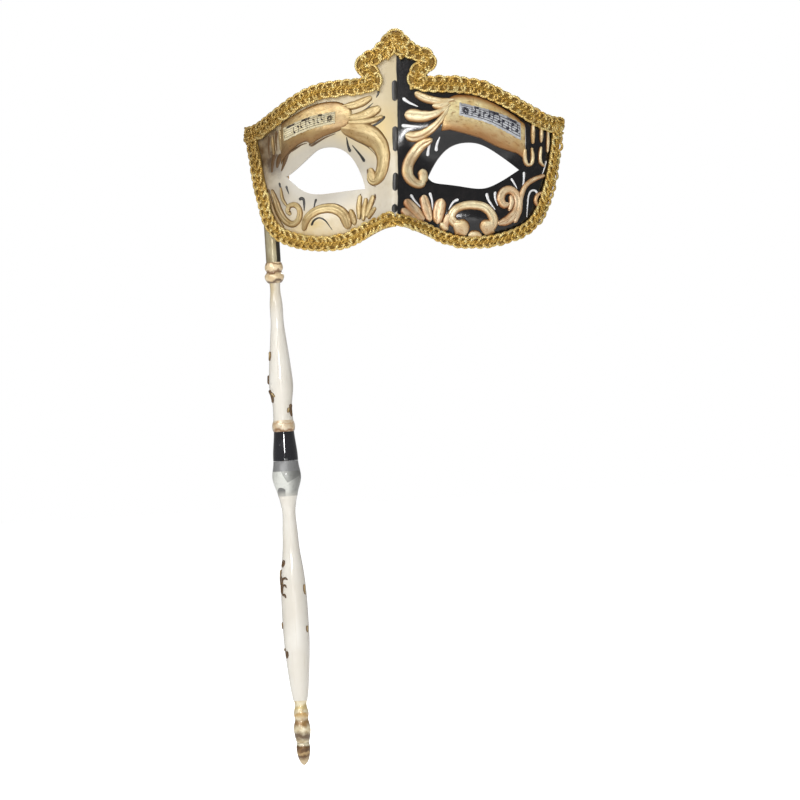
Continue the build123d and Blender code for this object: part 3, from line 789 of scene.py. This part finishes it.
def make_braid(name, line, seed, pitch, loop, row_off, pinch=0.0):
    """One length of braid: loop is the radius of its loops, row_off where their middles lie to each side,
    and pinch how much narrower it is halfway along."""
    rng = random.Random(seed)
    stations = braid_frames(line)
    length = stations[-1][4]
    loops = max(3, round(length / pitch))
    pitch = length / loops

    def narrowed(gone):
        return 1 - pinch * math.exp(-(((gone - length / 2) / PINCH_LONG) ** 2))

    tape = Shape()
    rows = []
    steps = max(12, round(length / 0.8))
    for i in range(steps + 1):
        gone = length * i / steps
        ring = []
        for off, lift in ((-1, 0.15), (-1, 1.0), (-0.6, 1.5), (0, 1.7), (0.6, 1.5), (1, 1.0), (1, 0.15)):
            ring.append(tape.point(on_braid(stations, gone, off * narrowed(gone) * (row_off + loop), lift) * MM, gone, off))
        rows.append(ring)
    tape.grid(rows, closed_columns=True)
    tape.faces.append(tuple(reversed(rows[0])))
    tape.faces.append(tuple(rows[-1]))
    tape.make(name + "_tape", TAPE, "mask", "gold_braid")

    rings = Shape()
    for row, side in enumerate((-1, 1)):
        points = []
        jitters = [(rng.uniform(-0.95, 0.95), rng.uniform(0.72, 1.26), rng.uniform(-0.5, 0.8)) for _ in range(loops + 1)]
        for i in range(loops * 22 + 1):
            k = min(i // 22, loops)
            blend = math.sin(math.pi * (i / 22 - k)) ** 2
            shift, lift_by = jitters[k][0] * blend, jitters[k][2] * blend
            scale = 1 + (jitters[k][1] - 1) * blend
            angle = 2 * math.pi * (i / 22 + 0.5 * row)
            gone = pitch * i / 22 + loop * 1.05 * scale * math.sin(angle) + shift
            off = side * narrowed(gone) * (row_off + loop * scale * math.cos(angle))
            lift = 1.75 + 0.55 * math.sin(angle) + 0.2 * math.cos(angle) + lift_by
            points.append(on_braid(stations, min(max(gone, 0), length), off, lift))
        cord(rings, points, CORD_R, sides=8, twist=0.8)
    rings.make(name + "_loops", THREAD, "mask", "gold_braid", [name] if name in NODES else [])

    plait = Shape()
    for phase in (0, math.pi):
        points = []
        for i in range(loops * 12 + 1):
            angle = 2 * math.pi * i / 12 + phase
            points.append(
                on_braid(stations, length * i / (loops * 12), 0.8 * math.sin(angle), 2.2 + 0.35 * math.cos(angle))
            )
        cord(plait, points, 0.66, sides=8, twist=0.9)
    plait.make(name + "_plait", PLAIT_THREAD, "mask", "gold_braid")


def mirrored(points):
    return [(-x, z) for x, z in points]


make_braid("braid_crown", CROWN_LINE, 1, 5.0, 1.85, 2.35, pinch=0.15)
make_braid("crown_fold", CROWN_FOLD, 6, 4.4, 1.4, 1.7)
make_braid("braid_brow_left", mirrored(BROW_LINE[:-1]) + [(-88.6, 25.2)], 2, 4.9, 1.8, 2.4)
make_braid("braid_brow_right", BROW_LINE, 3, 4.9, 1.8, 2.4)
make_braid("braid_lower_left", LEFT_SIDE_LINE + mirrored(CHIN_LINE), 4, 4.3, 1.7, 2.2)
make_braid("braid_lower_right", RIGHT_SIDE_LINE + RIGHT_CHIN_LINE, 5, 4.0, 1.4, 1.6)

# ---------------------------------------------------------------------------
# Raised ornament: strokes as (points across and up the mask, widths, height)
# ---------------------------------------------------------------------------
RELIEF_H = {"right": 1.8, "left": 1.15}
ONE_GROOVE, TWO_GROOVES = (0.08,), (-0.42, 0.42)
RIGHT_RELIEF = {
    "brow_leaves": [
        ([(11, 44.2), (15, 41.6), (20.4, 39.6), (26.6, 38.8), (33, 39.4)], [3.6, 5.2, 5.2, 4.2, 2.0], ONE_GROOVE),
        ([(5.2, 31.6), (10, 31.4), (15, 30.6), (21, 31.2), (26.6, 33.6), (31, 37)], [7.0, 8.0, 7.0, 5.0, 3.6, 1.8], (0.3,)),
        (
            [(5.4, 20.4), (10, 19.4), (15, 20.6), (20, 23.4), (24.4, 27.2), (28, 32), (30, 36)],
            [5.8, 6.6, 5.6, 5.0, 4.0, 3.0, 1.6], (-0.3,),
        ),
        ([(20.6, 36.2), (25.4, 36.4), (30, 37.8)], [3.0, 5.4, 6.0], ()),
    ],
    "nose_scroll": [
        (
            [(20.4, 18), (14, 14.6), (9.6, 9.6), (6.8, 4.6), (6.1, 0), (7.2, -3.8), (10.2, -6.8), (13.2, -7.2), (14.4, -4.6)],
            [3.0, 5.6, 6.6, 6.8, 6.6, 6.4, 6.0, 5.4, 4.8], ONE_GROOVE,
        ),
        ([(14.2, -7), (14.5, -3.4), (13.8, 1.2)], [5.0, 5.6, 6.6], ()),
    ],
    "fan_leaves": [
        ([(5, -16.2), (9, -21), (14.2, -28)], [4.6, 6.0, 4.4], (0.1,)),
        ([(14.2, -13.6), (15.8, -19.8), (17.8, -28.4)], [5.0, 6.0, 4.4], (0.2,)),
        ([(24.6, -15.8), (23.2, -21.6), (21.8, -29.8)], [6.8, 7.6, 5.6], (-0.2,)),
        ([(28.6, -24.4), (27, -28.6), (26, -33)], [4.0, 4.6, 3.6], ()),
        ([(3.4, -21.4), (7.6, -25.6), (12, -29.4)], [3.6, 4.8, 3.4], ()),
    ],
    "cheek_arch": [
        (
            [(35.4, -29.2), (32, -29.6), (29.8, -26.4), (31.8, -22.4), (36.4, -20.2), (42, -19.8), (47.6, -21),
             (51.4, -24.4), (52.8, -29), (50.6, -32.4), (47.2, -31.2)],
            [4.6, 5.8, 5.2, 5.0, 5.2, 5.4, 5.4, 5.4, 5.6, 5.8, 4.6], ONE_GROOVE,
        ),
        ([(38.6, -36.4), (46, -36.8)], [6.0, 6.0], ()), ([(23.4, -29.4), (27.6, -33)], [5.0, 6.0], ()),
        ([(31, -30), (35, -32.4), (37.4, -36)], [8.0, 11.0, 9.0], ()),
        ([(53, -30), (49.8, -32.2), (47.8, -36)], [7.0, 10.0, 8.0], ()),
    ],
    "cheek_curl": [
        (
            [(54.6, -30.4), (60, -28.8), (64.4, -24.8), (66.2, -19.2), (65, -14.2), (61.6, -11.4), (58, -13), (56.9, -17),
             (58.8, -20.2), (61, -19)],
            [2.6, 5.2, 5.8, 5.4, 5.2, 5.2, 5.2, 5.0, 4.6, 3.4], ONE_GROOVE,
        ),
        ([(62, -14.6), (62.6, -18.6), (61.2, -23.4)], [2.4, 3.2, 2.2], ()),
        ([(63.8, -30), (66.4, -23.4), (67.6, -15.6), (70.2, -9.4), (74.6, -5.8), (80.6, -3.2)], [2.6, 3.6, 3.2, 3.0, 3.0, 2.4], ()),
        ([(79.6, -12.6), (76.4, -14.6), (75.4, -18), (76.6, -21.4)], [1.4, 2.2, 2.0, 1.2], ()),
    ],
    "temple": [
        ([(70.4, 12), (70.2, 6.6), (71.2, 3), (73.4, 3), (74.4, 6.6), (74.2, 12.4)], [1.8, 2.6, 2.4, 2.2, 2.0, 1.2], ()),
        ([(79.2, 13), (78.4, 8), (78.6, 4), (80.6, 1.6)], [1.2, 1.8, 2.0, 1.4], ()),
        ([(75.2, 25.6), (75, 20), (74.8, 14.4)], [1.6, 2.3, 1.6], ()), ([(79.6, 24), (79.4, 19.6), (79.2, 15.2)], [1.4, 2.0, 1.4], ()),
        ([(83, 22), (82.8, 16), (82.4, 9.6)], [1.2, 1.7, 1.2], ()),
    ],
}
LEFT_RELIEF = {
    "brow_leaves": [
        ([(-13.2, 42.6), (-18.4, 40), (-24, 38.2), (-31, 37.6)], [3.2, 5.2, 5.0, 2.4], ONE_GROOVE),
        ([(-8.2, 36.4), (-13, 34.2), (-19, 32), (-25, 31.2), (-31, 32)], [4.4, 6.4, 5.8, 4.6, 2.8], ONE_GROOVE),
        ([(-6.8, 31.4), (-13.4, 29.2), (-20.4, 28.6), (-27, 28.6)], [2.4, 3.6, 4.0, 3.4], ()),
    ],
    "nose_scroll": [
        (
            [(-31, 25.6), (-25, 24.4), (-17, 22), (-10.6, 17.4), (-7.6, 10.6), (-7.8, 3.4), (-9.8, -2), (-12.6, -4.6),
             (-15, -3.4), (-16, 0.6)],
            [6, 9, 12.4, 12.6, 10.6, 9.0, 8.0, 7.4, 5.6, 3.0], TWO_GROOVES,
        ),
        ([(-13.4, -4.8), (-14.4, -0.8), (-15.4, 3)], [5.4, 5.0, 3.4], ()),
    ],
    "fan_leaves": [
        ([(-21.2, -12.2), (-22, -18), (-22, -26)], [2.8, 3.6, 2.4], ()),
        ([(-17.6, -14), (-19, -20), (-19.6, -27)], [2.6, 3.4, 2.4], ()),
        ([(-13.2, -12.6), (-15.4, -18), (-17.8, -25)], [2.8, 3.6, 2.4], ()),
        ([(-12, -19.6), (-14.6, -22.8), (-16.6, -26)], [2.4, 3.0, 2.0], ()),
        ([(-27, -20), (-25.4, -25), (-24.6, -29)], [3.0, 4.0, 3.0], ()),
    ],
    "cheek_arch": [
        (
            [(-54.6, -31), (-52.4, -24.6), (-47.6, -20.6), (-42, -19), (-35.6, -19.6), (-30.6, -23.4), (-28.2, -31)],
            [3.0, 4.8, 5.4, 5.8, 6.4, 6.6, 5.0], TWO_GROOVES,
        ),
    ],
    "cheek_curl": [
        (
            [(-74, -6.4), (-71.6, -13), (-69, -20), (-65.4, -25), (-61, -27), (-57.4, -24.6), (-56.6, -20), (-59, -16.4),
             (-62.8, -16.4), (-64.2, -19.6), (-62, -21.6)],
            [1.8, 3.4, 4.2, 4.6, 4.4, 4.0, 3.8, 3.6, 3.4, 3.0, 2.2], ONE_GROOVE,
        ),
        ([(-76, -8), (-74.6, -15), (-71.6, -22.4), (-67, -29)], [1.6, 3.0, 3.0, 2.0], ()),
        ([(-68.4, -5.6), (-67.4, -12), (-64.6, -16.6)], [1.2, 2.2, 1.6], ()),
    ],
    "temple": [
        ([(-67.6, 27), (-67.2, 20), (-66.8, 14.6)], [1.6, 2.2, 1.8], ()),
        ([(-72.4, 24), (-72.2, 18), (-71.8, 13)], [1.4, 2.0, 1.6], ()),
    ],
}
for side, reliefs, gold in (("right", RIGHT_RELIEF, GOLD_RIGHT), ("left", LEFT_RELIEF, GOLD_LEFT)):
    for ornament, strokes in reliefs.items():
        relief = Shape()
        for points, widths, grooves in strokes:
            stroke(relief, points, widths, RELIEF_H[side], grooves=grooves)
        finish = GOLD_CURL if (side, ornament) in (("right", "cheek_curl"), ("right", "fan_leaves")) else gold
        name = f"{ornament}_{side}"
        relief.make(name + "_gilt", finish, "mask", "gilt_relief", [name] if name in NODES else [])

PLATES = {
    "right": (
        [(28.4, 40), (34, 42.6), (43, 42.2), (51, 39.4), (59, 35), (66, 30), (71.4, 25.4)],
        [(25.4, 21.8), (30, 22.2), (36, 20.8), (42, 19), (48, 16.8), (54, 13.4), (60, 10.8), (66, 8.8), (70.8, 4.8)],
        PLATE_RIGHT,
    ),
    "left": (
        [(-24.6, 35), (-28.4, 38.8), (-34, 41), (-43, 40.8), (-51.6, 38.2), (-60, 34.2), (-66.8, 30.4)],
        [(-24.8, 30), (-28.8, 25.6), (-34, 23.4), (-40, 21.6), (-45, 19.4), (-48.8, 17.6), (-51.4, 19), (-55, 18.2), (-60, 15.4), (-64.8, 11.4), (-68, 6.8)],
        PLATE_LEFT,
    ),
}
for side, (upper, lower, gold) in PLATES.items():
    brow = Shape()
    plate(brow, upper, lower, 1.1, rim=0.25)
    brow.make(f"brow_plate_{side}_gilt", gold, "mask", "gilt_relief", [f"brow_plate_{side}"])

# ---------------------------------------------------------------------------
# Strips of printed music: paper, five staff lines and loose generic notes
# ---------------------------------------------------------------------------
STRIPS = {
    "right": ([(35.6, 37.6), (50, 33.6), (60, 30), (68.2, 25.8)], [(35.6, 30.2), (50, 26.2), (60, 21.4), (68.2, 16.6)]),
    "left": ([(-34, 34.8), (-46, 33.2), (-55, 30.8), (-64.6, 27.4)], [(-34, 28.2), (-46, 26.2), (-55, 23.8), (-64.6, 20.4)]),
}
STRIP_LIFT, STRIP_STEPS = 1.25, 41


def on_strip(side):
    """Where s along the strip from the nose and t up it, both from 0 to 1, lies in the row frame."""
    top, low = (smooth_path(edge, STRIP_STEPS)[0] for edge in STRIPS[side])

    def place(s, t, lift=0.0):
        k = min(int(max(s, 0) * (STRIP_STEPS - 1)), STRIP_STEPS - 2)
        f = max(s, 0) * (STRIP_STEPS - 1) - k
        point = low[k].lerp(low[k + 1], f).lerp(top[k].lerp(top[k + 1], f), t)
        return on_face(point[0], point[1], STRIP_LIFT + lift)

    return place


def strip_mark(shape, place, corners, lift):
    """A flat inked patch on the strip with the given corners, as (s, t) pairs."""
    top = [shape.point(place(s, t, lift)) for s, t in corners]
    low = [shape.point(place(s, t, 0.02)) for s, t in corners]
    count = len(corners)
    shape.faces.append(tuple(top))
    shape.faces.append(tuple(reversed(low)))
    for i in range(count):
        j = (i + 1) % count
        shape.faces.append((top[j], top[i], low[i], low[j]))


# notes as (place along the strip, height of the head, stem up or down)
NOTES = [
    (0.24, 0.5, 1), (0.31, 0.34, 1), (0.4, 0.66, -1), (0.47, 0.5, 1), (0.56, 0.82, -1), (0.63, 0.42, 1), (0.7, 0.58, -1),
    (0.77, 0.26, 1), (0.86, 0.66, -1), (0.93, 0.42, 1),
]
STRIP_LONG = 34.0
# paper, ink, half height of a staff line, how far the notes go, and how bold they are, for each side
STRIP_LOOKS = {"left": (CREAM_PAPER, BROWN_INK, 0.012, 0.8, 0.85), "right": (PAPER, INK, 0.02, 1.0, 1.2)}
for side, (paper_finish, ink_finish, staff_half, notes_to, bold) in STRIP_LOOKS.items():
    place = on_strip(side)
    paper = Shape()
    rows = []
    for i in range(41):
        s = i / 40
        ragged = 0.02 * math.sin(i * 2.1) + 0.015 * math.sin(i * 5.3)
        edge = [(0.0 - ragged, 0.0), (0.0 - ragged, 0.14), (0.5, 0.16), (1.0 + ragged, 0.14), (1.0 + ragged, 0.0)]
        rows.append([paper.point(place(s, t, lift), s * STRIP_LONG, t) for t, lift in edge])
    paper.grid(rows, closed_columns=True)
    paper.faces.append(tuple(reversed(rows[0])))
    paper.faces.append(tuple(rows[-1]))
    paper.make(f"music_strip_{side}_paper", paper_finish, "mask", "printed_paper", [f"music_strip_{side}"])

    ink = Shape()
    for line in range(5):
        middle, half = 0.18 + 0.16 * line, staff_half
        for k in range(20):
            a, b = 0.02 + 0.96 * k / 20, 0.02 + 0.96 * (k + 1) / 20
            strip_mark(ink, place, [(a, middle - half), (b, middle - half), (b, middle + half), (a, middle + half)], 0.22)
    for s, t, stem in NOTES:
        if s > notes_to:
            continue
        head = []
        for k in range(12):
            turn = 2 * math.pi * k / 12
            head.append((s + bold * (0.022 * math.cos(turn) + 0.004 * math.sin(turn)), t + bold * 0.085 * math.sin(turn) + 0.02 * math.cos(turn)))
        strip_mark(ink, place, head, 0.3)
        near = s + 0.016 * stem
        end = min(max(t + 0.42 * stem, 0.04), 0.97)
        strip_mark(ink, place, [(near - 0.006 * bold, min(t, end)), (near + 0.006 * bold, min(t, end)), (near + 0.006 * bold, max(t, end)), (near - 0.006 * bold, max(t, end))], 0.28)
    for a, b in ((0, 1), (3, 5), (7, 9)):
        strip_mark(ink, place, [(NOTES[a][0], 0.82), (NOTES[b][0], 0.84), (NOTES[b][0], 0.97), (NOTES[a][0], 0.95)], 0.3)
    for bar in (0.2, 0.52, 0.98):
        strip_mark(ink, place, [(bar - 0.004, 0.16), (bar + 0.004, 0.16), (bar + 0.004, 0.84), (bar - 0.004, 0.84)], 0.26)
    # an opening flourish in place of a clef
    for k in range(22):
        turn = 0.55 * k
        r = 0.05 + 0.012 * k / 2
        s, t = 0.1 + 0.32 * r * math.cos(turn), 0.5 + 1.5 * r * math.sin(turn)
        strip_mark(ink, place, [(s - 0.009 * bold, t - 0.045), (s + 0.009 * bold, t - 0.045), (s + 0.009 * bold, t + 0.045), (s - 0.009 * bold, t + 0.045)], 0.28)
    ink.make(f"music_ink_{side}", ink_finish, "mask", "printed_paper")

# ---------------------------------------------------------------------------
# Brush strokes: teardrops as (points from the round head to the tail, width of the head)
# ---------------------------------------------------------------------------
STROKE_H = 0.35
WHITE_STROKES = [
    ([(4.2, 41.4), (7.6, 38.8), (12.8, 36.2)], 2.5), ([(3.4, 25.8), (8, 25.4), (14.4, 24.6)], 2.6),
    ([(17.2, 8.4), (17.8, 12), (19.2, 16.4)], 2.4), ([(22, 11), (22.6, 14.6), (24.6, 19)], 2.4),
    ([(8, -13), (10, -16.4), (13.4, -20.6)], 1.8), ([(18, -12), (19.2, -16.4), (19.6, -22.4)], 2.0),
    ([(34, -16.2), (31, -17.8), (28.4, -22)], 2.2), ([(49.2, -13), (50.6, -17.4), (54.2, -22.8)], 2.2),
    ([(54, -12.2), (54, -16), (55.4, -20.4)], 1.9), ([(62.6, -4.8), (64.2, -7.4), (66, -10.8)], 1.8),
    ([(69.8, -1.2), (69.6, -6), (68.6, -11.6)], 1.7),
    ([(77, -14), (75.8, -12), (73.6, -12), (72, -14.8), (71.4, -20), (70.8, -27)], 1.6),
        ([(82, 5), (80.4, -0.6), (79, -3.4)], 1.2), ([(70.9, 24), (71, 16), (70.8, 11.6)], 1.2),
]
BLACK_STROKES_AND_SHADOW = [
    ([(-19.2, 34), (-15.6, 36.6), (-12.4, 39.4)], 1.6), ([(-6, 31.6), (-8, 29.2), (-11.4, 26.8), (-15.6, 25.6), (-21.6, 25.2)], 2.3),
    ([(-26.5, 12.2), (-27.6, 16), (-28, 20.6)], 2.3), ([(-18.4, 6.4), (-20.6, 10), (-25.2, 16)], 2.3),
    ([(-69.4, -2.8), (-68.8, -5), (-67.6, -8)], 1.8), ([(-65.2, -4.8), (-64.6, -6.8), (-63.4, -10)], 1.8),
    ([(-57.2, -13.6), (-56, -12.6), (-54.4, -13.8), (-54, -20)], 2.6), ([(-47, -13.2), (-47.6, -15.4), (-48.4, -18.4)], 2.0),
    ([(-49.8, -28.4), (-48.2, -25.6), (-45, -24.2), (-41.4, -26), (-37.6, -31.4)], 1.7), ([(-32, -20.4), (-31.8, -22.8), (-31.2, -25.6)], 1.9),
    # The last mark, at the inner edge of the crown's braid, is part black brush stroke and part painted shadow of the
    # braid.
    ([(-9.4, 46), (-9.6, 44.4), (-10.8, 42)], 2.0),
]
UMBER_STROKES = [
    ([(-28.6, 21.8), (-22.6, 18.2), (-16.6, 14.8), (-12, 10), (-10.6, 5)], 1.0), ([(-17, 2.4), (-16.8, -2), (-14.6, -6.6), (-11.6, -8.2)], 1.1),
    ([(-12.6, -11.8), (-12.2, -15), (-14.6, -20)], 1.0), ([(-20.8, -11.4), (-22.8, -15), (-23.6, -22)], 1.0),
    ([(-62.4, -19.2), (-62.8, -19.8)], 2.4), ([(-55.6, -27.6), (-53.8, -23), (-49.4, -19)], 0.9),
    ([(-12, -19.4), (-14.4, -21.6), (-16.4, -24.6)], 1.2), ([(-26.8, -20.4), (-26.6, -24), (-27.6, -29)], 1.1),
    ([(-66.4, 12.6), (-69, 10.6), (-70.6, 5.4)], 5.0), ([(-64, 13.8), (-65.2, 9.8), (-68, 3.4)], 3.6),
    ([(-71.4, 13.6), (-73, 9), (-73.8, 3)], 3.6), ([(-69.6, 26.4), (-70.4, 21), (-70, 15)], 2.2),
    ([(-74.4, 24), (-75.2, 18), (-75, 11)], 2.0), ([(-65.8, 10.4), (-62.6, 13.6), (-60, 15), (-54.8, 17.6), (-51.4, 18.2)], 2.0),
    ([(-50.4, 18), (-48.8, 16.9), (-45, 18.6), (-40, 20.9), (-34, 22.8)], 1.7), ([(-76.4, -6), (-75, -13), (-72, -21)], 2.0),
]
KEY_BARS = [(51.6, 39.8), (25.6, 11.4), (-0.6, -11), (-18.4, -23.4)]
for name, paint, strokes in (
    ("white_strokes", WHITE_PAINT, WHITE_STROKES), ("black_strokes_and_shadow", BLACK_PAINT, BLACK_STROKES_AND_SHADOW), ("umber_strokes", UMBER_PAINT, UMBER_STROKES)
):
    marks = Shape()
    for points, head in strokes:
        stroke(marks, points, [head * 0.9, head * 0.62, head * 0.3], STROKE_H, lift=-0.1, ribs=7)
    marks.make(name, paint, "mask", "papier_mache")
keys = Shape()
for top, low in KEY_BARS:
    stroke(keys, [(-0.2, top), (-0.3, (top + low) / 2), (-0.2, low)], [3.4, 3.6, 3.4], 0.25, lift=-0.1, ribs=9)
keys.make("key_bars", BLACK_PAINT, "mask", "papier_mache")

# ---------------------------------------------------------------------------
# Little brown and gold scrolls piped on the ivory spindles
# ---------------------------------------------------------------------------
def turned_surface(name):
    """A function that gives points on a turned piece from how far round it (degrees) and up it (mm) they are."""
    mesh = STICK[name].data
    tree = BVHTree.FromPolygons([v.co for v in mesh.vertices], [tuple(f.vertices) for f in mesh.polygons])

    def place(round_it, up_it, lift=0.0):
        turn = math.radians(round_it)
        out = Vector((math.cos(turn), math.sin(turn), 0))
        hit = tree.ray_cast(out * 0.05 + Vector((0, 0, up_it * MM)), -out)[0]
        return hit + out * (lift * MM)

    return place


# Marks as (points round and up the piece in mm, width at the head, whether dark, degrees round and mm up)
SPINDLE_MARKS = {
    "upper_spindle": (
        "upper_stick",
        [([(0, 2.6), (0.6, 0), (0, -2.8)], 2.6, False, (206, 160)), ([(0, 2.6), (-0.4, 0), (0.2, -2.6)], 3.0, True, (192, 146.5)),
         ([(-1.6, 3.4), (0.4, 1), (0.6, -2.4), (-0.6, -3.4)], 3.2, True, (212, 137)), ([(0.6, 3), (2.6, 0.4)], 2.0, False, (214, 136)),
         ([(0, 3.6), (-0.6, 0), (0.2, -3.6)], 2.6, True, (338, 128.5)), ([(-2, 1), (-2.8, -2)], 1.8, False, (338, 129))],
    ),
    "lower_spindle": (
        "lower_stick",
        [([(0, 1.4), (0.2, -0.2), (-0.8, -2.8)], 3.0, True, (222, 42)), ([(-1, 4), (-1.6, 0), (-1, -5)], 2.0, False, (206, 34)),
         ([(-1.2, 5), (0.6, 1), (0.6, -5)], 3.2, True, (208, 29)), ([(0.8, 5.4), (3.4, 6.6), (5.6, 5.6)], 1.7, True, (208, 26.5)),
         ([(1, 1.8), (3.4, 2.6), (4.6, 1)], 1.5, True, (208, 26.5)), ([(1, -2), (3, -2), (4, -3.8)], 1.7, True, (208, 25.5)),
         ([(0.4, -0.4), (2, 0.2)], 1.6, False, (208, 30)), ([(0, 2), (0.3, 0), (-0.3, -2)], 1.5, False, (196, 6)),
         ([(0.3, 2.2), (0.3, 0), (-0.3, -2.2)], 3.0, True, (218, -10.6)), ([(-1.4, 2.4), (-2, 0.4)], 1.6, False, (218, -9.2)),
         ([(0, 3), (-0.6, 0), (0, -3)], 1.8, False, (338, 26)), ([(0, 2), (-0.4, 0), (0, -2)], 1.8, False, (336, 3.4))],
    ),
}
for name, (body, marks) in SPINDLE_MARKS.items():
    surface = turned_surface(name)
    shapes = {True: Shape(), False: Shape()}
    for points, head, dark, (turn, height) in marks:
        radius = (surface(turn, height) - Vector((0, 0, height * MM))).length / MM

        def wrapped(x, z, lift=0.0):
            return surface(turn + math.degrees(x / radius), height + z, lift)

        stroke(shapes[dark], points, [head, head * 0.9, head * 0.6], 0.9, surface=wrapped, lift=-0.1, ribs=9)
    shapes[False].make(f"{name}_scrolls", BROWN_GOLD, body, "ivory_lacquer")
    shapes[True].make(f"{name}_dots", UMBER_PAINT, body, "ivory_lacquer")
